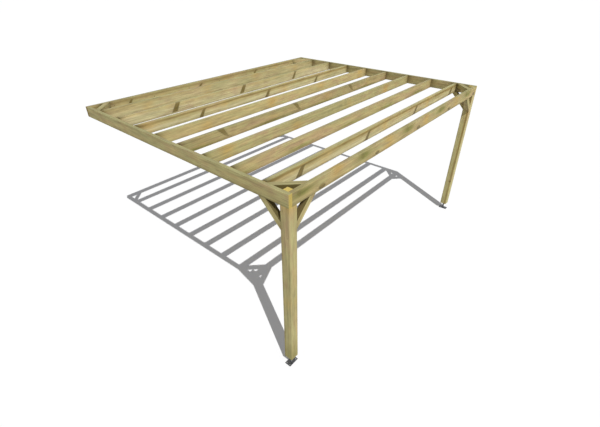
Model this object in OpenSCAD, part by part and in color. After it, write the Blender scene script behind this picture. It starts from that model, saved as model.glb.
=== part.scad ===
// Wall-mounted pergola: a ledger on the wall, two side beams, a front beam on two posts,
// eight rafters parallel to the wall, and diagonal braces at the corners.
// X runs along the wall, +Y goes into the wall, +Z is up. The origin is on the ledger's back
// face, midway along it and midway up it.

/* [Frame] */
// Overall width along the wall
frame_w = 5000; // [3000:10:7000]
// Depth from the wall to the front face of the front beam
frame_d = 4060; // [2600:10:6000]
// Height of the beam tops above the ground
frame_h = 2520; // [2000:10:3500]

/* [Ledger] */
// Thickness of the wall ledger
ledger_t = 47; // [30:1:80]
// Depth of the wall ledger, top to bottom
ledger_h = 150; // [100:1:240]
// Number of anchor bolts through the ledger
anchor_count = 7; // [3:1:12]
// Diameter of the anchor holes
anchor_d = 14; // [8:1:20]
// Distance along the ledger from a corner brace to the nearest anchor
anchor_gap = 60; // [30:5:300]

/* [Beams] */
// Thickness of the side beams and the front beam
beam_t = 47; // [30:1:70]
// Depth of the side beams, the front beam and the rafters, top to bottom
beam_h = 150; // [100:1:240]

/* [Rafters] */
// Thickness of a rafter
rafter_t = 47; // [30:1:80]
// Clear gap between the corner braces and the rafters next to them
rafter_gap = 3; // [2:1:100]

/* [Posts] */
// Side of the square posts
post_w = 115; // [90:1:180]

/* [Braces] */
// Width of a brace in the plane of its corner
brace_w = 70; // [45:1:110]
// Thickness of a brace across that plane
brace_t = 70; // [35:1:85]
// Reach of a knee brace along the beam and down the post
knee_leg = 290; // [220:5:600]
// Clear gap between a front corner brace and the post's inner corner
post_gap = 38; // [5:1:80]
// Reach of a wall corner brace along the ledger and the side beam
wall_corner_leg = 300; // [180:5:600]

/* [Feet] */
// Height of the post bottoms above the ground
foot_h = 120; // [70:1:200]
// Long side of the base plate
base_l = 150; // [140:1:260]
// Short side of the base plate
base_w = 85; // [80:1:180]
// Thickness of the base plate
base_t = 8; // [4:1:15]
// Diameter of the four holes in the base plate
base_hole_d = 12; // [8:1:16]
// Distance from the edges of the base plate to the hole centres
base_hole_inset = 18; // [14:1:30]
// Diameter of the threaded stem
stem_d = 24; // [16:1:36]
// Distance from the post's faces in to the square plate under it
top_plate_inset = 20; // [1:1:20]
// Thickness of the plate under the post
top_plate_t = 6; // [4:1:12]
// Thickness of the levelling nut from its bore to its flats
nut_wall = 6; // [5:1:12]
// Height of the levelling nut
nut_h = 18; // [8:1:25]
// Bare thread between the levelling nut and the plate under the post
nut_gap = 10; // [2:1:15]

/* [Hidden] */

rafter_count = 8;
half_w = frame_w / 2;
top_z = ledger_h / 2;
ground_z = top_z - frame_h;
post_bottom_z = ground_z + foot_h;
beam_bottom_z = top_z - beam_h;
front_y = -frame_d;
// Inner faces of the frame
inner_x = half_w - beam_t;
inner_front_y = front_y + beam_t;
inner_wall_y = -ledger_t;
// A front corner brace passes the post's inner corner
front_corner_leg = 2 * (post_w - beam_t) + (post_gap + brace_w) * sqrt(2);
// The first and last rafters stand just past the corner braces, the others evenly between
first_rafter_y = inner_wall_y - wall_corner_leg - rafter_gap - rafter_t;
last_rafter_y = inner_front_y + front_corner_leg + rafter_gap;
rafter_step = (first_rafter_y - last_rafter_y) / (rafter_count - 1);
anchor_inset = beam_t + wall_corner_leg + anchor_gap;
post_centre_x = half_w - post_w / 2;
post_centre_y = front_y + post_w / 2;
stem_bottom_z = ground_z + base_t;
stem_top_z = post_bottom_z - top_plate_t;
top_plate_w = post_w - 2 * top_plate_inset;
nut_af = stem_d + 2 * nut_wall;
cut = 1;
wood = "#B8A878";
dark_wood = "#A59468";
steel = "#767779";
$fn = 64;

// Box between two opposite corners
module box(low, high) {
    translate(low) cube(high - low);
}

// Mirrors its child to the right-hand side when side is 1; side -1 is the left
module at_side(side) {
    if (side < 0) children();
    else mirror([1, 0, 0]) children();
}

// Bar with a corner at the origin: its ends lie on the two legs and the bar
// runs between them at 45 degrees, extruded along +Z
module corner_bar(leg) {
    inner_leg = leg - brace_w * sqrt(2);
    linear_extrude(brace_t)
        polygon([[leg, 0], [inner_leg, 0], [0, inner_leg], [0, leg]]);
}

module wall_ledger() {
    spacing = (frame_w - 2 * anchor_inset) / (anchor_count - 1);
    color(wood)
    difference() {
        box([-half_w, -ledger_t, -ledger_h / 2], [half_w, 0, ledger_h / 2]);
        for (i = [0 : anchor_count - 1])
            translate([-half_w + anchor_inset + i * spacing, cut, 0])
                rotate([90, 0, 0])
                    cylinder(d = anchor_d, h = ledger_t + 2 * cut);
    }
}

// Side beam from the ledger to the front face, on the left side
module side_beam(side) {
    color(wood)
    at_side(side)
        box([-half_w, front_y, beam_bottom_z], [-inner_x, inner_wall_y, top_z]);
}

// Front beam between the two side beams
module front_beam() {
    color(wood)
        box([-inner_x, front_y, beam_bottom_z], [inner_x, inner_front_y, top_z]);
}

module rafter(index) {
    y = first_rafter_y - (index - 1) * rafter_step;
    color(dark_wood)
        box([-inner_x, y, beam_bottom_z], [inner_x, y + rafter_t, top_z]);
}

// Post with its two outer faces cut back where the beams sit
module post(side) {
    color(wood)
    at_side(side)
    difference() {
        box([-half_w, front_y, post_bottom_z], [-half_w + post_w, front_y + post_w, top_z]);
        box([-half_w - cut, front_y - cut, beam_bottom_z],
            [-inner_x, front_y + post_w + cut, top_z + cut]);
        box([-half_w - cut, front_y - cut, beam_bottom_z],
            [-half_w + post_w + cut, inner_front_y, top_z + cut]);
    }
}

// Knee brace from the post back to the side beam, flush with their outer faces
module side_knee_brace(side) {
    color(dark_wood)
    at_side(side)
        translate([-half_w, front_y + post_w, beam_bottom_z])
            rotate([0, 90, 0]) corner_bar(knee_leg);
}

// Knee brace from the post along to the front beam, flush with their front faces
module front_knee_brace(side) {
    color(dark_wood)
    at_side(side)
        translate([-half_w + post_w, front_y + brace_t, beam_bottom_z])
            rotate([90, 0, 0]) mirror([0, 1, 0]) corner_bar(knee_leg);
}

// Level brace across the corner of a side beam and the front beam
module front_corner_brace(side) {
    color(dark_wood)
    at_side(side)
        translate([-inner_x, inner_front_y, top_z - brace_t]) corner_bar(front_corner_leg);
}

// Level brace across the corner of a side beam and the ledger
module wall_corner_brace(side) {
    color(dark_wood)
    at_side(side)
        translate([-inner_x, inner_wall_y, top_z - brace_t])
            mirror([0, 1, 0]) corner_bar(wall_corner_leg);
}

// Base plate on the ground; turned puts its long side along Y
module base_plate(side, turned) {
    color(steel)
    translate([side * post_centre_x, post_centre_y, ground_z])
    rotate([0, 0, turned ? 90 : 0])
    difference() {
        box([-base_l / 2, -base_w / 2, 0], [base_l / 2, base_w / 2, base_t]);
        for (sx = [-1, 1], sy = [-1, 1])
            translate([sx * (base_l / 2 - base_hole_inset),
                       sy * (base_w / 2 - base_hole_inset), -cut])
                cylinder(d = base_hole_d, h = base_t + 2 * cut);
    }
}

module stem(side) {
    color(steel)
    translate([side * post_centre_x, post_centre_y, stem_bottom_z])
        cylinder(d = stem_d, h = stem_top_z - stem_bottom_z);
}

// Levelling nut on the stem, just under the top plate
module levelling_nut(side) {
    color(steel)
    translate([side * post_centre_x, post_centre_y, stem_top_z - nut_gap - nut_h])
    difference() {
        cylinder(d = nut_af / cos(30), h = nut_h, $fn = 6);
        translate([0, 0, -cut]) cylinder(d = stem_d, h = nut_h + 2 * cut);
    }
}

module top_plate(side) {
    color(steel)
    translate([side * post_centre_x, post_centre_y, stem_top_z])
        box([-top_plate_w / 2, -top_plate_w / 2, 0],
            [top_plate_w / 2, top_plate_w / 2, top_plate_t]);
}

wall_ledger();
side_beam(-1);  // left_side_beam
side_beam(1);  // right_side_beam
front_beam();
rafter(1);  // rafter_1
rafter(2);  // rafter_2
rafter(3);  // rafter_3
rafter(4);  // rafter_4
rafter(5);  // rafter_5
rafter(6);  // rafter_6
rafter(7);  // rafter_7
rafter(8);  // rafter_8
post(-1);  // left_post
post(1);  // right_post
side_knee_brace(-1);  // left_side_knee_brace
front_knee_brace(-1);  // left_front_knee_brace
side_knee_brace(1);  // right_side_knee_brace
front_knee_brace(1);  // right_front_knee_brace
front_corner_brace(-1);  // front_left_corner_brace
front_corner_brace(1);  // front_right_corner_brace
wall_corner_brace(-1);  // wall_left_corner_brace
wall_corner_brace(1);  // wall_right_corner_brace
base_plate(-1, false);  // left_base_plate
base_plate(1, true);  // right_base_plate
stem(-1);  // left_stem
stem(1);  // right_stem
levelling_nut(-1);  // left_levelling_nut
levelling_nut(1);  // right_levelling_nut
top_plate(-1);  // left_top_plate
top_plate(1);  // right_top_plate
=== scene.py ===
import math
import random

import bmesh
import bpy
from mathutils import Matrix, Vector


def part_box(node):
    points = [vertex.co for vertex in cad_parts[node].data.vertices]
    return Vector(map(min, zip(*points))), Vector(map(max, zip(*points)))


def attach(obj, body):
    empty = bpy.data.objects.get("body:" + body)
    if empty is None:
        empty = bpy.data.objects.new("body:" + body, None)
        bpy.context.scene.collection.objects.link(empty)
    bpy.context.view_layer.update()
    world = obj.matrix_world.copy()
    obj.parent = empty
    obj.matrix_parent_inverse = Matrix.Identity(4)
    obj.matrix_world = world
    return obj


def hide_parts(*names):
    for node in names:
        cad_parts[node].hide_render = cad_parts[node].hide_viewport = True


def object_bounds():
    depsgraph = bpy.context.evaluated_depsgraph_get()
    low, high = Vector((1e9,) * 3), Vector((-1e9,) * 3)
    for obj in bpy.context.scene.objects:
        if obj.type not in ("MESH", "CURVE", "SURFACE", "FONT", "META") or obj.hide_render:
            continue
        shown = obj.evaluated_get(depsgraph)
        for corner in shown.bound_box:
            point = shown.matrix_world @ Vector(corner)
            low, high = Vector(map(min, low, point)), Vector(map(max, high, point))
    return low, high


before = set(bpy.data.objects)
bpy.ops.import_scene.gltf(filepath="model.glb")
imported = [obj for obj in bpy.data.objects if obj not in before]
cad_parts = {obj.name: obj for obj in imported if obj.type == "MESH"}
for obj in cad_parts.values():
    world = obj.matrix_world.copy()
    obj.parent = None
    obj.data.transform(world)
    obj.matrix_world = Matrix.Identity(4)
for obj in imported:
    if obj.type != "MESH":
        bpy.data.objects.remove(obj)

cad_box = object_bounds()
MM = 0.001
X, Y, Z = Vector((1, 0, 0)), Vector((0, 1, 0)), Vector((0, 0, 1))
SIDES = ((-1, "left"), (1, "right"))
random.seed(41)

# Dresses the pergola: each solid of the frame gets a finer mesh of the same size. The grain and
# the knots of a timber are worked out from the tree that it was sawn from. The wall would be the
# plane y = 0. The screw heads, the threads and the welds are only here.


# ---------------------------------------------------------------- shader maths

def srgb(red, green, blue):
    """Linear colour for an sRGB colour given as 0 to 255."""
    def linear(c):
        c /= 255
        return c / 12.92 if c <= 0.04045 else ((c + 0.055) / 1.055) ** 2.4
    return (linear(red), linear(green), linear(blue), 1.0)


class Value:
    """An output socket that ordinary sums can be written with."""

    def __init__(self, net, socket):
        self.net, self.socket = net, socket

    def __add__(self, other):
        return self.net.math("ADD", self, other)

    def __radd__(self, other):
        return self.net.math("ADD", other, self)

    def __sub__(self, other):
        return self.net.math("SUBTRACT", self, other)

    def __rsub__(self, other):
        return self.net.math("SUBTRACT", other, self)

    def __mul__(self, other):
        return self.net.math("MULTIPLY", self, other)

    def __truediv__(self, other):
        return self.net.math("DIVIDE", self, other)


class Net:
    """Adds nodes to a material or to the world."""

    def __init__(self, owner):
        owner.use_nodes = True
        self.owner, self.tree = owner, owner.node_tree
        self.shader = self.tree.nodes.get("Principled BSDF")

    @classmethod
    def material(cls, name):
        return cls(bpy.data.materials.new(name))

    def node(self, kind, **settings):
        made = self.tree.nodes.new(kind)
        for key, value in settings.items():
            setattr(made, key, value)
        return made

    def put(self, socket, value):
        """Links a value to an input socket, or sets the socket to a constant."""
        if isinstance(value, Value):
            self.tree.links.new(value.socket, socket)
        else:
            socket.default_value = value

    def math(self, operation, *terms):
        made = self.node("ShaderNodeMath", operation=operation)
        for socket, term in zip(made.inputs, terms):
            self.put(socket, term)
        return Value(self, made.outputs[0])

    def most(self, first, *others):
        """The largest of some values."""
        for other in others:
            first = self.math("MAXIMUM", first, other)
        return first

    def least(self, first, second):
        return self.math("MINIMUM", first, second)

    def vector(self, x=0.0, y=0.0, z=0.0):
        made = self.node("ShaderNodeCombineXYZ")
        for socket, term in zip(made.inputs, (x, y, z)):
            self.put(socket, term)
        return Value(self, made.outputs[0])

    def parts(self, name):
        """The three components of a vector attribute of the mesh."""
        source = self.node("ShaderNodeAttribute", attribute_name=name)
        split = self.node("ShaderNodeSeparateXYZ")
        self.tree.links.new(source.outputs["Vector"], split.inputs[0])
        return [Value(self, out) for out in split.outputs]

    def object_place(self):
        """Where the point lies in its object."""
        return Value(self, self.node("ShaderNodeTexCoord").outputs["Object"])

    def noise(self, where, scale=1.0, detail=2.0, roughness=0.5):
        made = self.node("ShaderNodeTexNoise")
        self.put(made.inputs["Vector"], where)
        made.inputs["Scale"].default_value = scale
        made.inputs["Detail"].default_value = detail
        made.inputs["Roughness"].default_value = roughness
        return Value(self, made.outputs["Fac"])

    def chance(self, number):
        """A random number from 0 to 1 that belongs to a whole number."""
        made = self.node("ShaderNodeTexWhiteNoise", noise_dimensions="1D")
        self.put(made.inputs["W"], number)
        return Value(self, made.outputs["Value"])

    def ramp(self, value, low, high, start=0.0, end=1.0, kind="SMOOTHSTEP"):
        """Goes from start to end as value goes from low to high."""
        made = self.node("ShaderNodeMapRange", interpolation_type=kind)
        for socket, term in zip(made.inputs, (value, low, high, start, end)):
            self.put(socket, term)
        return Value(self, made.outputs[0])

    def bell(self, value, width):
        """1 where value is 0, falling off over width."""
        scaled = value / width
        return self.math("POWER", math.e, scaled * scaled * -1.0)

    def every(self, place, first, spacing):
        """How far a place is from the nearest one of a row, and that one's number."""
        number = self.math("FLOOR", (place - first) / spacing + 0.5)
        return place - first - number * spacing, number

    def blend(self, amount, first, second, kind="MIX"):
        made = self.node("ShaderNodeMix", data_type="RGBA", blend_type=kind)
        amount_in, first_in, second_in = (made.inputs[i] for i in (0, 6, 7))
        self.put(amount_in, amount)
        self.put(first_in, first)
        self.put(second_in, second)
        return Value(self, made.outputs[2])

    def shade_with(self, amount, colour, tint):
        """The colour multiplied by a tint, as far as amount says. The pine paints its shade with
        it.
        """
        return self.blend(amount, colour, self.blend(1.0, colour, tint, "MULTIPLY"))

    def brighten(self, colour, factor):
        """The colour times a factor."""
        made = self.node("ShaderNodeVectorMath", operation="SCALE")
        self.put(made.inputs[0], colour)
        self.put(made.inputs["Scale"], factor)
        return Value(self, made.outputs[0])

    def shows_background(self):
        """1 for the rays of the camera and those that metal or glass sends on, else 0."""
        path = self.node("ShaderNodeLightPath")
        return self.most(*(Value(self, path.outputs[f"Is {kind} Ray"])
                           for kind in ("Camera", "Glossy", "Transmission")))

    def finish(self, colour, roughness, relief=None, depth=0.0):
        """Ends the material: its colour, its roughness and its relief, depth metres deep."""
        self.put(self.shader.inputs["Base Color"], colour)
        self.put(self.shader.inputs["Roughness"], roughness)
        if relief is not None:
            bump = self.node("ShaderNodeBump")
            bump.inputs["Distance"].default_value = depth
            self.put(bump.inputs["Height"], relief)
            self.tree.links.new(bump.outputs[0], self.shader.inputs["Normal"])
        return self.owner


# ------------------------------------------------------------------------ pine

TAN = srgb(210, 190, 132)
OLIVE = srgb(196, 187, 130)
PALE = srgb(220, 209, 166)
PINK = srgb(210, 180, 136)
ORANGE = srgb(212, 172, 92)
BROWN = srgb(158, 134, 78)
MOSS = srgb(150, 146, 80)
KNOT = srgb(136, 118, 63)
KNOT_EDGE = srgb(84, 73, 36)
END = srgb(222, 198, 110)
END_LATE = srgb(176, 150, 74)
TOP_SHADE = (0.72, 0.75, 0.79, 1.0)     # painted shade: faces that look up are made darker and bluer
SHADE_TINT = (0.27, 0.23, 0.15, 1.0)         # tint of the painted shade in corners, at joints, where timbers meet and along edges

# Radii in the tree
PITH_LINE = 15 * MM        # of the dark line along the pith
HEARTWOOD, SAPWOOD = 30 * MM, 100 * MM     # where the one ends, and where the other is full
BARK, BARK_FADE = 155 * MM, 17 * MM        # where knots end, and over what length they do
# The pith line and the growth rings
WANDER, WANDER_RATE = 22 * MM, 0.9         # how far the pith line strays, and waves in a metre
RING = 4.2 * MM            # spacing of the rings
RING_BEND, RING_RIPPLE = 9 * MM, 6 * MM    # how far they bend at a knot and elsewhere
LATE_BEGINS, LATE_FULL, LATE_ENDS = 0.35, 0.86, 0.93       # late wood, as shares of a ring
# Knots
KNOT_STRAY, KNOT_SWING = 30 * MM, 0.2      # how far they leave the place and angle of their row
KNOT_HOOK, HOOK_RADIUS = 20 * MM, 14 * MM  # the bend at a knot's start, and how far out it goes
KNOT_STRETCH = 0.85        # below 1, so that they are longer along the board than across it
SMALLEST_KNOT = 1 * MM
HALO = 2.4                 # how many times its radius the wood bends round a knot
# Resin patches, painted shade and the surface
RESIN_REACH = 100 * MM     # from the middle of a resinous patch
CONTACT_REACH = 90 * MM    # of the painted shade where another timber meets a board
JOINT_REACH = 28 * MM      # of the painted shade's darker part at the ends of a board
CHECK_WIDTH = 0.006        # of a drying check, as a step of its noise
WOOD_RELIEF = 0.6 * MM
WOOD_SHINE = 0.3


class Pine(Net):
    """Planed, green pressure-treated pine. The mesh says where each point lies from the pith line
    of its tree (u along it, v and w across it), where it lies in its board, and what the board
    is like. Class Board says what each look means."""

    def __init__(self, owner):
        super().__init__(owner)
        self.u, self.v, self.w = self.parts("grain")
        self.across, self.height, self.end = self.parts("place")
        self.upward, self.grime, self.inner = self.parts("lie")
        self.length, self.joints, self.flat = self.parts("reach")
        self.contact_first, self.contact_spacing, self.contact_strength = self.parts("contacts")
        self.seed, self.green, self.warm = self.parts("tone")
        self.heart, self.orange, self.pale = self.parts("marks")
        self.patch_first, self.patch_spacing, self.streak = self.parts("patches")
        self.moss_first, self.moss_spacing, self.moss_strength = self.parts("moss")
        self.moss_height, self.moss_length, self.moss_depth = self.parts("moss_form")
        self.taper, self.other_taper, self.light = self.parts("tapers")
        self.bend_pith()
        self.grow_knots()
        self.spread_noise()
        self.lay_rings()

    def bend_pith(self):
        """Makes the pith line wander a little along the tree."""
        self.straight_v = self.v
        wander_v = self.noise(self.vector(self.u * WANDER_RATE + self.seed, self.seed),
                              detail=1.0) - 0.5
        wander_w = self.noise(self.vector(self.u * WANDER_RATE, self.seed * 2.0, self.seed),
                              detail=1.0) - 0.5
        self.v, self.w = self.v + wander_v * WANDER, self.w + wander_w * WANDER
        self.radius = self.math("SQRT", self.v * self.v + self.w * self.w)

    def grained(self, along, across, shift=(0, 0, 0), detail=2.0, roughness=0.5):
        """Noise with its own scales along and across the grain. Multiples of the board's seed
        shift it, so that no two boards are alike."""
        where = []
        for part, scale, times in zip((self.u, self.v, self.w), (along, across, across), shift):
            scaled = part * scale
            where.append(scaled + self.seed * times if times else scaled)
        return self.noise(self.vector(*where), detail=detail, roughness=roughness)

    def vary(self, value, **weights):
        """Adds the board's noises to a value. Each lies round 0 and counts by its weight."""
        for name, weight in weights.items():
            value = value + (getattr(self, name) - 0.5) * weight
        return value

    def knot_row(self, name, taper, flat, seed):
        """A row of knots that grow from the pith line outwards. The mesh says where the first one
        is, their spacing and the direction they grow in, their size, their slant and how dark
        they are. Flat knots are longer than wide and darker towards their lower edge. Returns
        how much a point is of their face, of their edge and of the wood that bends round them,
        and how far it is from them in terms of their radius."""
        first, spacing, angle = self.parts(f"{name}_row")
        size, slant, darkness = self.parts(f"{name}_form")
        on_u, number = self.every(self.u, first, spacing)
        luck = self.chance(number + seed)
        turned = self.chance(number * 3.7 + seed + 11.3)
        # out is the way from the pith line along the knot, aside the way across it
        angle = angle + (turned - 0.5) * KNOT_SWING
        along_v, along_w = self.math("COSINE", angle), self.math("SINE", angle)
        out = self.v * along_v + self.w * along_w
        aside = self.v * along_w - self.w * along_v
        # it starts in a small hook and slants along the board
        hook = self.bell(out, HOOK_RADIUS) * KNOT_HOOK
        on_u = (on_u - (luck - 0.5) * KNOT_STRAY + out * slant - hook) * KNOT_STRETCH
        # it thickens on its way out, and its outline is ragged
        radius = size * (luck * 0.3 + 0.85) * (out * taper + 0.9 - taper * 0.05)
        radius = self.most(radius, SMALLEST_KNOT)
        ragged = self.grained(60.0, 60.0, detail=3.0) * 0.4 + 0.8
        near = self.math("SQRT", aside * aside * flat * flat + on_u * on_u) * ragged / radius
        # it begins at the pith line and ends at the bark
        grows = self.ramp(out, -4 * MM, 10 * MM) * self.ramp(out, BARK, BARK - BARK_FADE)
        below = self.ramp(aside, 14 * MM, -20 * MM, -0.9, 0.5) * (flat - 1.0)
        inside = self.ramp(near, 1.15, 0.72) * grows * self.ramp(out, 0.0, 70 * MM, 0.7, 1.0)
        inside = inside * (below * 0.8 + 1.0)
        edge = self.bell(near - 0.95, 0.2) * grows * (below * 1.2 + 1.0)
        halo = self.bell(near, HALO) * grows
        return inside * darkness, edge * darkness, halo * darkness, near

    def grow_knots(self):
        *main, near_main = self.knot_row("main", self.taper, self.flat, self.seed)
        *other, near_other = self.knot_row("other", self.other_taper, 1.0, self.seed + 31.0)
        self.knot, self.knot_edge, self.halo = (self.most(*pair) for pair in zip(main, other))
        self.near_knot = self.least(near_main, near_other)

    def spread_noise(self):
        """Stripes and fibres run along the board, blotches are a hand or two long."""
        self.stripes = self.grained(0.8, 34.0, (1, 0, 0), detail=3.0, roughness=0.6)
        self.fibre = self.grained(9.0, 620.0, (0, 0, 1))
        self.patchy = self.grained(2.6, 13.0, (3, 0, 0))
        self.broad = self.grained(1.3, 6.0, (0, 1, 0))
        self.blotch = self.grained(5.5, 22.0, (1, -1, 0), detail=3.0, roughness=0.6)
        self.fine = self.grained(3.0, 110.0, (0, 0, -1))

    def lay_rings(self):
        """Growth rings, bent round the knots; the late wood of some years is darker."""
        ripple = self.grained(1.4, 14.0, (0, 0, 1))
        bent = self.radius + self.halo * RING_BEND + ripple * RING_RIPPLE
        turn = self.math("FRACT", bent / RING)
        year = self.chance(self.math("FLOOR", bent / RING) + self.seed)
        self.late = self.ramp(turn, LATE_BEGINS, LATE_FULL) * self.ramp(turn, 1.0, LATE_ENDS)
        self.late = self.late * (year * 0.6 + 0.4)

    def treated(self):
        """Sapwood takes more of the green treatment, heartwood stays warm."""
        sap = self.ramp(self.radius, HEARTWOOD, SAPWOOD)
        rim = self.ramp(self.math("ABSOLUTE", self.across), 0.6, 1.0)
        greenness = self.vary(self.green + sap * 0.2 + rim * 0.25,
                              patchy=2.4, stripes=0.8, blotch=1.6)
        colour = self.blend(self.ramp(greenness, 0.0, 1.0), TAN, OLIVE)
        warmth = self.vary(self.broad + self.warm, blotch=-0.9)
        colour = self.blend(self.ramp(warmth, 0.45, 0.95), colour, PINK)
        lift = self.ramp(self.stripes, 0.25, 0.7) * self.ramp(self.radius, PITH_LINE, 80 * MM)
        return self.blend(self.pale * lift, colour, PALE)

    def patched(self, colour):
        """Resinous patches and greener patches at intervals."""
        wavy_u = self.vary(self.u, patchy=0.16)
        from_patch = self.every(wavy_u, self.patch_first, self.patch_spacing)[0]
        resin = self.bell(from_patch, RESIN_REACH)
        resin = resin * self.ramp(self.vary(self.broad, blotch=0.6), 0.3, 0.6)
        colour = self.blend(resin * self.orange, colour, ORANGE)
        wavy_u = self.vary(self.u, blotch=0.12)
        from_moss = self.every(wavy_u, self.moss_first, self.moss_spacing)[0]
        aside = self.vary(self.straight_v - self.moss_height, blotch=0.05)
        moss = self.bell(from_moss, self.moss_length) * self.bell(aside, self.moss_depth)
        return self.blend(moss * self.moss_strength * (self.stripes + 0.5), colour, MOSS)

    def figured(self, colour):
        """The darker line of the pith, dark streaks, and the light and dark of the grain."""
        line = self.bell(self.vary(self.radius, stripes=0.012), PITH_LINE)
        colour = self.blend(line * self.heart * (self.patchy + 0.4), colour, BROWN)
        colour = self.blend(self.ramp(self.stripes, 0.58, 0.8) * self.streak, colour, BROWN)
        tone = self.vary(self.light - self.late * 0.17,
                         fibre=0.2, stripes=0.65, blotch=0.8, broad=0.3, fine=0.6)
        return self.brighten(colour, tone)

    def sawn(self, colour):
        """The end grain of the cut ends."""
        end_colour = self.blend(self.late * 0.75, END, END_LATE)
        end_colour = self.brighten(end_colour, self.vary(1.0, fibre=0.3))
        return self.blend(self.end, colour, end_colour)

    def knotted(self, colour):
        """The knots, with rings of their own, and the darker wood round them."""
        colour = self.blend(self.halo * 0.35, colour, self.brighten(colour, 0.86))
        turn = self.math("FRACT", self.near_knot * 5.0 + self.blotch)
        rings = self.ramp(turn, 0.5, 0.95) * self.ramp(turn, 1.0, 0.95)
        core = self.blend(0.55, self.blend(rings, KNOT, KNOT_EDGE), KNOT)
        core = self.brighten(core, self.vary(1.0, fine=0.8))
        colour = self.blend(self.knot, colour, core)
        return self.blend(self.knot_edge * 0.45, colour, KNOT_EDGE)

    def painted_shading(self, colour):
        """Painted shade: darker, bluer upper faces, and darker lower edges, board ends, places
        where timbers meet, corners and end faces.
        """
        face = 1.0 - self.end
        # painted shade on the faces that look up
        colour = self.shade_with(self.upward * face, colour, TOP_SHADE)
        # painted shade towards the lower edge
        low_edge_shade = self.ramp(self.vary(self.height, blotch=0.4), -0.5, -1.0) * 0.42
        from_end = self.least(self.u, self.length - self.u)
        # painted shade at the ends where a board meets others
        joint_shade = self.bell(from_end, JOINT_REACH) * 0.6 + self.bell(from_end, CONTACT_REACH) * 0.75
        from_contact = self.every(self.u, self.contact_first, self.contact_spacing)[0]
        # painted shade where other timbers meet the inner face
        contact_shade = self.bell(from_contact, CONTACT_REACH) * self.contact_strength * self.inner
        contact_shade = contact_shade * (self.height * 0.3 + 0.7)
        # all the painted shade, which also darkens the end faces that a board asks for
        painted_shade = self.most(low_edge_shade, joint_shade * self.joints, contact_shade) * face
        painted_shade = self.least(self.most(painted_shade, self.grime) * (self.blotch * 0.5 + 0.75), 1.0)
        return self.shade_with(painted_shade, colour, SHADE_TINT)

    def build(self):
        """Ends the material and returns it."""
        colour = self.figured(self.patched(self.treated()))
        colour = self.knotted(self.sawn(colour))
        # fine drying checks
        lines = self.grained(1.7, 70.0, (0, 1, 0), detail=1.0)
        check = self.bell(lines - 0.5, CHECK_WIDTH) * self.ramp(self.broad, 0.52, 0.62)
        colour = self.painted_shading(self.blend(check * 0.5, colour, KNOT_EDGE))
        rough = self.vary(0.74, fibre=0.2) - self.knot * 0.2 - self.late * 0.08
        relief = (self.fibre * 0.4 + self.late * 0.35 + self.knot * 0.4
                  - self.knot_edge * 0.5 - check * 1.2)
        self.shader.inputs["Specular IOR Level"].default_value = WOOD_SHINE
        return self.finish(colour, rough, relief, WOOD_RELIEF)


# ----------------------------------------------------------------------- steel

def galvanised(name):
    """Hot-dip galvanised steel with its faint spangle and white bloom."""
    net = Net.material(name)
    place = net.object_place()
    spangle = net.node("ShaderNodeTexVoronoi")
    net.put(spangle.inputs["Vector"], place)
    spangle.inputs["Scale"].default_value = 170.0
    split = net.node("ShaderNodeSeparateXYZ")
    net.tree.links.new(spangle.outputs["Color"], split.inputs[0])
    cell = Value(net, split.outputs[0])
    bloom = net.noise(place, scale=60.0, detail=4.0, roughness=0.6)
    fine = net.noise(place, scale=900.0)
    colour = net.blend(cell * 0.5, srgb(86, 87, 90), srgb(110, 112, 115))
    colour = net.blend(net.ramp(bloom, 0.5, 0.75) * 0.5, colour, srgb(136, 137, 136))
    colour = net.blend(net.ramp(bloom, 0.42, 0.3) * 0.5, colour, srgb(60, 61, 64))
    rough = 0.42 + (bloom - 0.5) * 0.3 + (cell - 0.5) * 0.12
    net.shader.inputs["Metallic"].default_value = 0.75
    return net.finish(colour, rough, bloom * 0.6 + fine * 0.4, 0.3 * MM)


def zinc_plated(name):
    """Yellowish zinc plating, dulled."""
    net = Net.material(name)
    cloud = net.noise(net.object_place(), scale=420.0, detail=3.0)
    colour = net.blend(net.ramp(cloud, 0.35, 0.65), srgb(126, 118, 92), srgb(158, 150, 124))
    net.shader.inputs["Metallic"].default_value = 0.7
    return net.finish(colour, 0.45 + (cloud - 0.5) * 0.3, cloud, 0.1 * MM)


TIMBER_SLOTS = ("ledger_timber", "beam_timber", "rafter_timber", "post_timber", "brace_timber")
TIMBER = {slot: Pine.material(slot).build() for slot in TIMBER_SLOTS}
STEEL = galvanised("galvanised_steel")
PLATED = zinc_plated("plated_screws")


# -------------------------------------------------------------------- geometry

SAME_POINT = 0.01 * MM     # points closer than this are one point
SAME_SIDE = 0.01           # faces that turn by less than this, in radians, are one flat side
TIMBER_EDGE = 0.5          # radians between the two faces at an edge of a timber
PLATE_EDGE = 1.0           # the same for a steel plate


def cad_mesh(node):
    """A welded copy of a node's own faces, with its flat sides made whole again."""
    bm = bmesh.new()
    bm.from_mesh(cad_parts[node].data)
    bmesh.ops.remove_doubles(bm, verts=bm.verts, dist=SAME_POINT)
    bmesh.ops.dissolve_limit(bm, angle_limit=SAME_SIDE, verts=bm.verts, edges=bm.edges)
    return bm


def sharp_edges(bm, angle):
    """The edges where two faces meet at more than an angle."""
    return [edge for edge in bm.edges
            if len(edge.link_faces) == 2 and edge.calc_face_angle(0) > angle]


def round_off(bm, edges, size, segments):
    """Rounds some edges, in place."""
    bmesh.ops.bevel(bm, geom=edges, offset=size, offset_type="OFFSET", segments=segments,
                    profile=0.5, affect="EDGES", clamp_overlap=True)


def circle(steps):
    """The angles of evenly spaced points round a circle."""
    return [i / steps * math.tau for i in range(steps)]


def point(bm, centre, radius, angle, z):
    """A new point at an angle and a radius round an upright axis."""
    return bm.verts.new((centre.x + radius * math.cos(angle),
                         centre.y + radius * math.sin(angle), z))


def band(bm, first, second, closed=True):
    """A band of faces between two rows of points."""
    for i in range(len(first) if closed else len(first) - 1):
        j = (i + 1) % len(first)
        bm.faces.new((first[i], first[j], second[j], second[i]))


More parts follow.
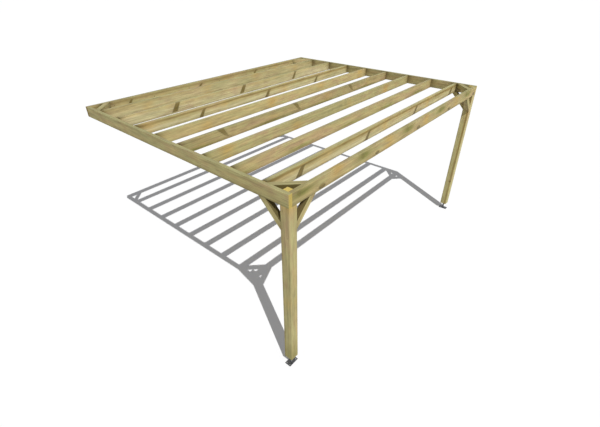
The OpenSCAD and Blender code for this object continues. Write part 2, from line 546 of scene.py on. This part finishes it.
def to_object(bm, name, material, sharp_angle=0.6):
    """Makes an object that rides on the one body. Round places are shaded smooth."""
    bmesh.ops.recalc_face_normals(bm, faces=bm.faces)
    mesh = bpy.data.meshes.new(name)
    bm.to_mesh(mesh)
    bm.free()
    mesh.materials.append(material)
    for face in mesh.polygons:
        face.use_smooth = True
    mesh.set_sharp_from_angle(angle=sharp_angle)
    made = bpy.data.objects.new(name, mesh)
    bpy.context.scene.collection.objects.link(made)
    normals = made.modifiers.new("normals", "WEIGHTED_NORMAL")
    normals.keep_sharp = True
    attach(made, "root")
    return made


# --------------------------------------------------------------------- timbers

DOWN, UP, FACE = math.pi, 0.0, math.pi / 2     # directions that knots grow in
ALIGNED = 0.99             # an axis of a board counts as upright or level from here on
FACING = 0.6               # a face looks in a direction from here on
# painted shade on a brace's face that looks into its corner
CORNER_SHADE = 0.95
SEED_STEP = 7.31           # how far apart the noise of two boards lies
EASING = 2.5 * MM
POST_EASING = 3.5 * MM
EASING_STEPS = 3
SHORTEST = 20 * MM         # shorter edges belong to holes and stay sharp
SCREW_R = 5.0 * MM
SCREW_SHARES = (0.25, 0.75)     # where the two screws of a rafter's end lie on its height
POCKET_PLAY = 0.4 * MM     # between a screw head and its pocket
POCKET = 1.6 * MM          # depth of a pocket
POCKET_STEPS = 24
BRACE_TOUCH = 260 * MM     # from an end of the ledger to where a corner brace's painted shadow lies on it
# strengths of the painted shade that the corner braces and the rafters leave
BRACE_SHADE, RAFTER_SHADE = 1.2, 0.8


class Board:
    """How one timber was sawn and what it looks like. Lengths are in metres, strengths go from
    0 for none to about 1. A row of things along the board is given as the place of the first
    one and their spacing.

    along, up, out  its axes: its length, the way across its main face, the way out of that face
    pith            where its tree's middle lay from the board's middle, along up and out
    light           how light it is on the whole
    green, warm     how green the treatment made it, how pink its heartwood is
    heart, streak   how dark its pith line and its streaks are
    pale            how pale its sapwood is
    orange, patches the strength of its resinous patches, and their row
    moss            the row of its greener patches and their strength
    moss_form       their height from the board's middle, their length and their depth
    contacts        the row of painted shade where other timbers meet its inner face, and its strength
    joints, ends    how much painted shade darkens it towards its ends, and how dark its end faces are
    wall            how much painted shade darkens its top edge by the wall
    corner          the way its face in painted shade looks, if it has one
    main, other     its two rows of knots, each with the direction they grow in, their size, their
                    slant and how dark they are
    taper           how much thicker the main knots are out from the pith, and flat how much
                    longer than wide they are; other_taper is for the other knots
    """

    def __init__(self, along, up, out, pith=(0.0, -0.05), light=1.04, green=0.4, warm=0.0,
                 heart=0.0, streak=0.0, pale=0.0, orange=0.0, patches=(0.3, 1.3),
                 moss=(0.5, 1.2, 0.0), moss_form=(0.0, 0.2, 0.02), contacts=(0.5, 1.0, 0.0),
                 joints=0.8, ends=0.0, wall=0.0, corner=None,
                 main=(0.6, 1.4, DOWN, 0.0, 0.0, 0.0), taper=3.3, flat=1.0,
                 other=(0.2, 1.1, UP, 0.0, 0.0, 0.0), other_taper=7.0):
        self.axes, self.pith = (along, up, out), pith
        self.green, self.warm = green, warm
        self.joints, self.flat = joints, flat
        self.ends, self.wall, self.corner = ends, wall, corner
        moss_height, moss_length, moss_depth = moss_form
        self.looks = {"marks": (heart, orange, pale), "patches": (*patches, streak),
                      "moss": moss, "moss_form": (moss_height - pith[0], moss_length, moss_depth),
                      "contacts": contacts, "tapers": (taper, other_taper, light),
                      "main_row": main[:3], "main_form": main[3:],
                      "other_row": other[:3], "other_form": other[3:]}

    def extent(self, mesh, low, high):
        """Where the board starts and ends along each of its axes."""
        if all(max(abs(c) for c in axis) > ALIGNED for axis in self.axes):
            points = (low, high)
        else:
            points = [vertex.co for vertex in mesh.vertices]
        reach = [[place.dot(axis) for place in points] for axis in self.axes]
        return [(min(row), max(row)) for row in reach]

    def shaded_edge_axis(self):
        """The axis that its painted shade along an edge lies down: a level board's lower edge, a
        post's rear.
        """
        along, up, _ = self.axes
        if up.z > ALIGNED:
            return 1
        return 2 if along.z > ALIGNED else None


def write_looks(mesh, board, seed, low, high, easing):
    """Writes what the pine material needs to know onto a timber's mesh."""
    along = board.axes[0]
    extent = board.extent(mesh, low, high)
    start, stop = extent[0]
    middle = [(first + last) / 2 for first, last in extent]
    half = [(last - first) / 2 for first, last in extent]
    into_frame = (Vector(cad_box[0]) + Vector(cad_box[1])) / 2 - (low + high) / 2
    into_frame.z = 0.0
    into_frame.normalize()
    origin = (start, middle[1] + board.pith[0], middle[2] + board.pith[1])
    same = {"tone": (seed * SEED_STEP, board.green, board.warm),
            "reach": (stop - start, board.joints, board.flat), **board.looks}
    # all are made first, because making one more moves the others
    for name in ("grain", *same):
        mesh.attributes.new(name, "FLOAT_VECTOR", "POINT")
    for name in ("place", "lie"):
        mesh.attributes.new(name, "FLOAT_VECTOR", "CORNER")
    values = mesh.attributes
    for i, vertex in enumerate(mesh.vertices):
        values["grain"].data[i].vector = [vertex.co.dot(axis) - zero
                                          for axis, zero in zip(board.axes, origin)]
        for name, value in same.items():
            values[name].data[i].vector = value
    shaded_edge_axis = board.shaded_edge_axis()
    for face in mesh.polygons:
        is_end = 1.0 if abs(face.normal.dot(along)) > FACING else 0.0
        upward = max(0.0, face.normal.z)
        inner = max(0.0, face.normal.dot(into_frame))
        # painted shade: on end faces, on a brace's face that looks into its corner, and along the
        # ledger's top edge by the wall
        grime = is_end * board.ends
        if board.corner is not None and face.normal.dot(board.corner) > FACING:
            grime = CORNER_SHADE
        for loop in face.loop_indices:
            place = mesh.vertices[mesh.loops[loop].vertex_index].co
            across = [(place.dot(axis) - mid) / reach
                      for axis, mid, reach in zip(board.axes, middle, half)]
            height = 0.0 if shaded_edge_axis is None else across[shaded_edge_axis]
            wall_shade = board.wall if upward > 0.5 and place.y > high.y - 2 * easing else 0.0
            values["place"].data[loop].vector = (across[1], height, is_end)
            values["lie"].data[loop].vector = (upward, max(grime, wall_shade), inner)


def cut_pockets(bm, screws):
    """Sinks a round pocket for the head of each (place, outward direction) screw."""
    body, drill_mesh = bpy.data.meshes.new("cut_body"), bpy.data.meshes.new("cut_tool")
    bm.to_mesh(body)
    bm.free()
    drill = bmesh.new()
    radius = SCREW_R + POCKET_PLAY
    for place, outward in screws:
        turn = outward.to_track_quat("Z", "Y").to_matrix().to_4x4()
        bmesh.ops.create_cone(drill, cap_ends=True, segments=POCKET_STEPS, radius1=radius,
                              radius2=radius, depth=2 * POCKET,
                              matrix=Matrix.Translation(place) @ turn)
    drill.to_mesh(drill_mesh)
    drill.free()
    solid = bpy.data.objects.new("cut_body", body)
    tool = bpy.data.objects.new("cut_tool", drill_mesh)
    for helper in (solid, tool):
        bpy.context.scene.collection.objects.link(helper)
    cut = solid.modifiers.new("cut", "BOOLEAN")
    cut.operation, cut.solver, cut.object = "DIFFERENCE", "EXACT", tool
    graph = bpy.context.evaluated_depsgraph_get()
    result = bpy.data.meshes.new_from_object(solid.evaluated_get(graph))
    pocketed = bmesh.new()
    pocketed.from_mesh(result)
    for helper in (solid, tool):
        bpy.data.objects.remove(helper)
    for mesh in (body, drill_mesh, result):
        bpy.data.meshes.remove(mesh)
    return pocketed


def timber(node, slot, board, seed, screws=(), easing=EASING):
    """Dresses one timber. The seed picks its own stretch of the noise."""
    bm = cad_mesh(node)
    long_edges = [edge for edge in sharp_edges(bm, TIMBER_EDGE)
                  if edge.calc_length() > SHORTEST]
    round_off(bm, long_edges, easing, EASING_STEPS)
    if screws:
        bm = cut_pockets(bm, screws)
    made = to_object(bm, f"{node}_wood", TIMBER[slot])
    write_looks(made.data, board, seed, *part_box(node), easing)
    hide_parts(node)


def spikes(first, spacing=1.374, size=0.027, slant=0.65, dark=1.0):
    """Spike knots that run from the pith line down across the face."""
    return (first, spacing, DOWN, size, slant, dark)


def pins(first, spacing=1.17):
    """Small round knots that come straight out of the face."""
    return (first, spacing, FACE, 0.007, 0.0, 1.0)


def level(**looks):
    """A board along X with its main face to the front."""
    return Board(X, Z, -Y, **looks)


RAFTERS = {
    1: level(pith=(0.07, -0.02), pale=0.4, orange=0.35, patches=(0.72, 1.18), light=1.0),
    2: level(pith=(0.09, 0.01), green=0.35, warm=0.05, pale=0.85, light=1.08,
             main=spikes(0.966, 1.396, 0.034, 0.6), taper=2.0, other=pins(0.32)),
    3: level(pith=(0.048, 0.02), green=0.45, pale=0.85, heart=1.1, orange=0.35,
             patches=(1.5, 1.374), light=1.1,
             main=spikes(1.114, size=0.029, dark=1.1), other=pins(0.49)),
    4: level(pith=(0.01, -0.05), green=0.1, orange=0.55, patches=(0.77, 1.29), light=1.1),
    5: level(pith=(-0.04, 0.01), green=0.15, warm=0.1, light=0.895, orange=0.3,
             main=(0.74, 1.465, UP, 0.034, 0.85, 0.85), taper=6.0,
             moss=(0.2, 1.3, 0.8), moss_form=(-0.055, 0.4, 0.02)),
    6: level(pith=(0.0, -0.07), green=0.6, orange=0.6, patches=(0.34, 1.23), light=1.02),
    7: level(green=0.2, warm=0.15, light=1.02, main=(1.16, 1.1, UP, 0.012, 0.3, 0.8),
             moss=(1.08, 1.07, 0.9), moss_form=(-0.038, 0.26, 0.018)),
    8: level(pith=(0.05, 0.02), green=0.45, pale=0.85, heart=1.1, orange=0.45,
             patches=(0.95, 1.372), light=1.1,
             main=spikes(0.556, 1.372, 0.031, dark=1.25), other=pins(1.07)),
}
# the ledger's wall and ends paint shade along its top edge by the wall and on its end faces
LEDGER = dict(pith=(0.04, 0.02), heart=0.8, orange=0.35, patches=(1.3, 1.376), light=0.95,
              joints=0.3, ends=0.85, wall=0.5,
              main=spikes(0.708, 1.376, 0.024, 0.6, 1.25), other=pins(1.24))
FRONT_BEAM = level(pith=(-0.034, -0.03), green=0.1, orange=0.6, patches=(0.72, 1.09), light=1.0,
                   joints=0.15, main=(0.45, 1.098, FACE, 0.044, 0.0, 1.35), taper=1.0, flat=1.7,
                   other=(0.16, 1.09, 0.7, 0.024, 0.6, 0.4), other_taper=1.0,
                   moss=(0.15, 1.09, 1.15), moss_form=(0.025, 0.16, 0.045))
SIDE_BEAMS = {
    -1: dict(pith=(0.0, -0.06), warm=-0.05, streak=0.3, light=0.94),
    1: dict(pith=(0.01, 0.03), green=0.5, warm=-0.05, streak=0.8, heart=0.4, pale=0.25,
            light=0.86),
}
POSTS = {
    -1: dict(pith=(0.01, 0.005), green=0.45, pale=0.1, streak=0.5, light=1.02, orange=0.5,
             patches=(1.0, 1.3), moss=(0.03, 3.0, 0.6), moss_form=(0.0, 0.25, 0.12)),
    1: dict(pith=(-0.052, 0.03), green=0.75, pale=0.25, streak=0.3, heart=1.35, light=1.19,
            main=(0.51, 1.5, DOWN, 0.022, 0.0, 1.0), ends=0.5),
}


def rafter_screws(side, beam):
    """The screws through a side beam, two into each rafter."""
    low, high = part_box(beam)
    face = low.x if side < 0 else high.x
    screws = []
    for index in RAFTERS:
        low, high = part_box(f"rafter_{index}")
        for share in SCREW_SHARES:
            place = Vector((face, (low.y + high.y) / 2, low.z + (high.z - low.z) * share))
            screws.append((place, X * side))
    return screws


def rafter_shade_row():
    """The row of painted shadows that the rafters leave on a side beam, counted from its start."""
    first, second = (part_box(f"rafter_{index}") for index in (1, 2))
    beam_start = -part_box("left_side_beam")[1].y
    return (-(first[0].y + first[1].y) / 2 - beam_start, first[0].y - second[0].y, RAFTER_SHADE)


def brace(node, along, up, out, inward, seed):
    """A brace at 45 degrees, with painted shade on the face that looks into its corner."""
    board = Board(along.normalized(), up.normalized(), out, corner=inward.normalized(), joints=0.4)
    timber(node, "brace_timber", board, seed)


def timbers():
    """Dresses the timbers and returns the screws that show."""
    low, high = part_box("wall_ledger")
    # painted shadows of the two wall corner braces on the ledger
    brace_shades = (BRACE_TOUCH, high.x - low.x - 2 * BRACE_TOUCH, BRACE_SHADE)
    timber("wall_ledger", "ledger_timber", level(contacts=brace_shades, **LEDGER), 1)
    rafter_shades = rafter_shade_row()
    screws = []
    for side, name in SIDES:
        node = f"{name}_side_beam"
        heads = rafter_screws(side, node)
        board = Board(-Y, Z, -X, joints=0.0, contacts=rafter_shades, **SIDE_BEAMS[side])
        timber(node, "beam_timber", board, 2 + side, heads)
        screws += heads
    timber("front_beam", "beam_timber", FRONT_BEAM, 5)
    for index, board in RAFTERS.items():
        timber(f"rafter_{index}", "rafter_timber", board, 10 + index)
    for side, name in SIDES:
        sideways = X * side
        timber(f"{name}_post", "post_timber", Board(Z, X, -Y, joints=0.0, **POSTS[side]),
               20 + side, easing=POST_EASING)
        brace(f"{name}_side_knee_brace", Z + Y, Z - Y, sideways, Z - Y, 24 + side)
        brace(f"{name}_front_knee_brace", Z - sideways, Z + sideways, -Y, Z + sideways, 28 + side)
        brace(f"front_{name}_corner_brace", sideways + Y, Y - sideways, Z, sideways - Y, 32 + side)
        brace(f"wall_{name}_corner_brace", Y - sideways, Y + sideways, Z, Y + sideways, 36 + side)
    return screws


# ---------------------------------------------------------------------- screws

HEAD_STEPS = 36
LOBES, LOBE_DEPTH = 6, 0.14     # how many, and how deep as a share of the radius
# A screw head from its underside over its rim into its recess: radius and depth below the
# surface of the wood in millimetres, and whether the row has lobes
HEAD_ROWS = ((4.6, 1.5, False), (SCREW_R / MM, 0.9, False), (4.6, 0.6, False), (2.7, 0.6, True),
             (2.4, 1.4, True))


def screw_heads(screws):
    """Countersunk heads with a six-lobed recess, just under the surface of the wood."""
    bm = bmesh.new()
    for place, outward in screws:
        turn = outward.to_track_quat("Z", "Y").to_matrix()
        spin = random.uniform(0, math.tau)
        rows = []
        for radius, depth, lobed in HEAD_ROWS:
            row = []
            for angle in circle(HEAD_STEPS):
                r = radius * (1 + (LOBE_DEPTH * math.cos(LOBES * angle) if lobed else 0)) * MM
                local = Vector((math.cos(angle + spin) * r, math.sin(angle + spin) * r,
                                -depth * MM))
                row.append(bm.verts.new(place + turn @ local))
            rows.append(row)
        for first, second in zip(rows, rows[1:]):
            band(bm, first, second)
        bm.faces.new(rows[-1])
        bm.faces.new(rows[0][::-1])
    made = to_object(bm, "screw_heads", PLATED)


# ------------------------------------------------------------------------ feet

PLATE_CORNER, PLATE_CORNER_STEPS = 4 * MM, 4
BASE_EASING, TOP_EASING, RIM_STEPS = 0.8 * MM, 0.6 * MM, 2
UPRIGHT = 3 * MM           # an edge that rises by more is an upright corner of a plate
THREAD_PITCH = 3.0 * MM
THREAD_DEPTH = 1.8 * MM
THREAD_STEPS = 36          # points in a turn
# A thread's section: whether the point is on the crest, and where it lies in the pitch
THREAD_SECTION = ((False, 0.0), (True, 0.42), (True, 0.58), (False, 1.0))
CORE_STEPS = 48
PLAIN_END = 4.0 * MM       # of a stem, below and above its thread
CORE_BITE = 0.1 * MM       # how far the core reaches into the thread
WELD_LEG = 4.6 * MM
WELD_STEPS, WELD_SECTION = 96, 8     # points round the stem and across the weld
WELD_BITE = 1.0 * MM       # how far a weld reaches into its stem
RIPPLES, RIPPLE = 24, 0.10           # how many, and how high as a share of the weld
LUMPS, LUMP = 5, 0.05                # the same for the slower swelling of the weld
NUT_STEPS = 72
NUT_FACE = 0.98            # radius of its flat faces, as a share of half the nut's width
NUT_CHAMFER = 0.6          # its chamfer, as a share of what the corners stand out
BORE_CHAMFER = 1.5 * MM


def axis_of(node):
    """The middle of a round piece and its radius."""
    low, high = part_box(node)
    return (low + high) / 2, (high.x - low.x) / 2


def plate(node, easing):
    """A steel plate with rounded corners and eased rims."""
    bm = cad_mesh(node)
    upright = [edge for edge in sharp_edges(bm, PLATE_EDGE)
               if abs(edge.verts[0].co.z - edge.verts[1].co.z) > UPRIGHT]
    round_off(bm, upright, PLATE_CORNER, PLATE_CORNER_STEPS)
    round_off(bm, sharp_edges(bm, PLATE_EDGE), easing, RIM_STEPS)
    made = to_object(bm, f"{node}_steel", STEEL)
    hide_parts(node)


def threaded_stem(node):
    """A rod with a helical thread between plain ends."""
    low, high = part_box(node)
    centre, outer = axis_of(node)
    root = outer - THREAD_DEPTH
    start = low.z + PLAIN_END
    turns = int((high.z - low.z - 2 * PLAIN_END) / THREAD_PITCH)
    lowest, highest = start - THREAD_PITCH / 2, start + (turns + 0.5) * THREAD_PITCH
    bm = bmesh.new()
    lines = [[] for _ in THREAD_SECTION]
    count = turns * THREAD_STEPS
    for i in range(count + 1):
        turned = i / THREAD_STEPS
        base = start + (turned - 0.5) * THREAD_PITCH
        fade = min(1.0, turned, (count - i) / THREAD_STEPS)
        for line, (crest, share) in zip(lines, THREAD_SECTION):
            radius = root + ((outer - root) * fade if crest else 0.0)
            z = min(max(base + share * THREAD_PITCH, lowest), highest)
            line.append(point(bm, centre, radius, turned * math.tau, z))
    for first, second in zip(lines, lines[1:]):
        band(bm, first, second, closed=False)
    foot, top = ([point(bm, centre, root + CORE_BITE, angle, z) for angle in circle(CORE_STEPS)]
                 for z in (low.z, high.z))
    band(bm, foot, top)
    bm.faces.new(foot[::-1])
    bm.faces.new(top)
    made = to_object(bm, f"{node}_thread", STEEL, sharp_angle=0.9)
    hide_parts(node)


def weld_bead(name, stem, root_z, upward):
    """The rippled weld round a stem where it meets a plate."""
    centre, radius = axis_of(stem)
    inner = radius - WELD_BITE
    bm = bmesh.new()
    rings = []
    for angle in circle(WELD_STEPS):
        size = WELD_LEG * (1 + RIPPLE * math.sin(angle * RIPPLES)
                           + LUMP * math.sin(angle * LUMPS + 1))
        tilts = [k / WELD_SECTION * math.pi / 2 for k in range(WELD_SECTION + 1)]
        rings.append([point(bm, centre, inner + size * math.cos(tilt), angle,
                            root_z + upward * size * math.sin(tilt)) for tilt in tilts])
    lines = list(zip(*rings))
    for first, second in zip(lines, lines[1:]):
        band(bm, first, second)
    made = to_object(bm, name, STEEL, sharp_angle=1.2)


def hex_nut(node, stem):
    """A hexagon whose corners are cut back top and bottom, with a chamfered bore."""
    low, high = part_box(node)
    centre = (low + high) / 2
    flats = min(high.x - low.x, high.y - low.y) / 2
    half_side = math.pi / 6
    corner = flats / math.cos(half_side)
    turn = 0.0 if high.x - low.x > high.y - low.y else half_side
    bore = axis_of(stem)[1]
    bm = bmesh.new()

    def hexagon(z, limit):
        """A hexagon whose corners are rounded where they reach past a limit."""
        row = []
        for angle in circle(NUT_STEPS):
            off = (angle - turn) % (2 * half_side) - half_side
            row.append(point(bm, centre, min(flats / math.cos(off), limit), angle, z))
        return row

    cut = (corner - flats) * NUT_CHAMFER
    face, between = flats * NUT_FACE, (flats + corner) / 2
    outside = [hexagon(z, limit) for z, limit in
               ((low.z, face), (low.z + cut * 0.5, between), (low.z + cut, corner),
                (high.z - cut, corner), (high.z - cut * 0.5, between), (high.z, face))]
    inside = [hexagon(z, limit) for z, limit in
              ((high.z, bore + BORE_CHAMFER), (high.z - BORE_CHAMFER, bore),
               (low.z + BORE_CHAMFER, bore), (low.z, bore + BORE_CHAMFER))]
    loops = outside + inside + outside[:1]
    for first, second in zip(loops, loops[1:]):
        band(bm, first, second)
    made = to_object(bm, f"{node}_hex", STEEL)
    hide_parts(node)


def feet():
    for _, name in SIDES:
        stem = f"{name}_stem"
        plate(f"{name}_base_plate", BASE_EASING)
        plate(f"{name}_top_plate", TOP_EASING)
        threaded_stem(stem)
        hex_nut(f"{name}_levelling_nut", stem)
        low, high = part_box(stem)
        weld_bead(f"{name}_lower_weld", stem, low.z, 1)
        weld_bead(f"{name}_upper_weld", stem, high.z, -1)


# ------------------------------------------------------------ floor and lights

WHITE = (1.0, 1.0, 1.0, 1.0)
FLOOR_REACH = 160          # from its middle to its edges
FLOOR_BOUNCE = (0.4, 0.4, 0.4, 1.0)     # what the floor throws back at the timber
FLOOR_GLOW = 0.05          # seen but lighting nothing, so that the floor's shadow is mid grey
GLOW_COLOUR = (0.9, 0.97, 1.2, 1.0)
SKY = 0.22
SUN = 2.87
SUN_WIDTH = 0.4            # in degrees
TO_SUN = (-0.335, -0.635, 1.0)          # from the shadows on the ground


def white_floor():
    bm = bmesh.new()
    bmesh.ops.create_grid(bm, x_segments=1, y_segments=1, size=FLOOR_REACH)
    bmesh.ops.translate(bm, verts=bm.verts, vec=(0, 0, cad_box[0][2]))
    mesh = bpy.data.meshes.new("floor")
    bm.to_mesh(mesh)
    bm.free()
    net = Net.material("floor")
    seen = net.shows_background()
    net.finish(net.blend(seen, FLOOR_BOUNCE, WHITE), 1.0)
    net.shader.inputs["Specular IOR Level"].default_value = 0.0
    net.shader.inputs["Emission Color"].default_value = GLOW_COLOUR
    net.put(net.shader.inputs["Emission Strength"], seen * FLOOR_GLOW)
    mesh.materials.append(net.owner)
    floor = bpy.data.objects.new("floor", mesh)
    bpy.context.scene.collection.objects.link(floor)


def white_sky():
    """A sky that is seen as white and lights less than that."""
    world = bpy.data.worlds.new("world")
    bpy.context.scene.world = world
    net = Net(world)
    net.tree.nodes.clear()
    sky = net.node("ShaderNodeBackground")
    sky.inputs["Color"].default_value = WHITE
    strength = net.ramp(net.shows_background(), 0.0, 1.0, SKY, 1.0, kind="LINEAR")
    net.put(sky.inputs["Strength"], strength)
    out = net.node("ShaderNodeOutputWorld")
    net.tree.links.new(sky.outputs[0], out.inputs[0])


def sunlight():
    lamp = bpy.data.lights.new("sun", "SUN")
    lamp.energy, lamp.angle = SUN, math.radians(SUN_WIDTH)
    sun = bpy.data.objects.new("sun", lamp)
    sun.rotation_euler = Vector(TO_SUN).to_track_quat("Z", "Y").to_euler()
    sun.location = (-4, -6, 6)
    bpy.context.scene.collection.objects.link(sun)


# ---------------------------------------------------------------------- camera

EYE = (-4.6412, -6.0035, 1.7651)
LOOKS_DOWN, LOOKS_RIGHT = 33.13, 49.80     # in degrees, right of the way to the wall
LENS, SENSOR = 22.26, 36.0                 # in millimetres
SEES_TO = 500                              # in metres


def camera():
    """The photograph's place and angle, worked out from the frame's right angles."""
    lens = bpy.data.cameras.new("camera")
    lens.sensor_width, lens.lens, lens.clip_end = SENSOR, LENS, SEES_TO
    eye = bpy.data.objects.new("camera", lens)
    eye.location = EYE
    eye.rotation_euler = (math.radians(90 - LOOKS_DOWN), 0.0, math.radians(-LOOKS_RIGHT))
    bpy.context.scene.collection.objects.link(eye)
    bpy.context.scene.camera = eye


camera()
screw_heads(timbers())
feet()
white_floor()
white_sky()
sunlight()
bpy.context.scene.view_settings.view_transform = "Standard"
bpy.context.view_layer.update()
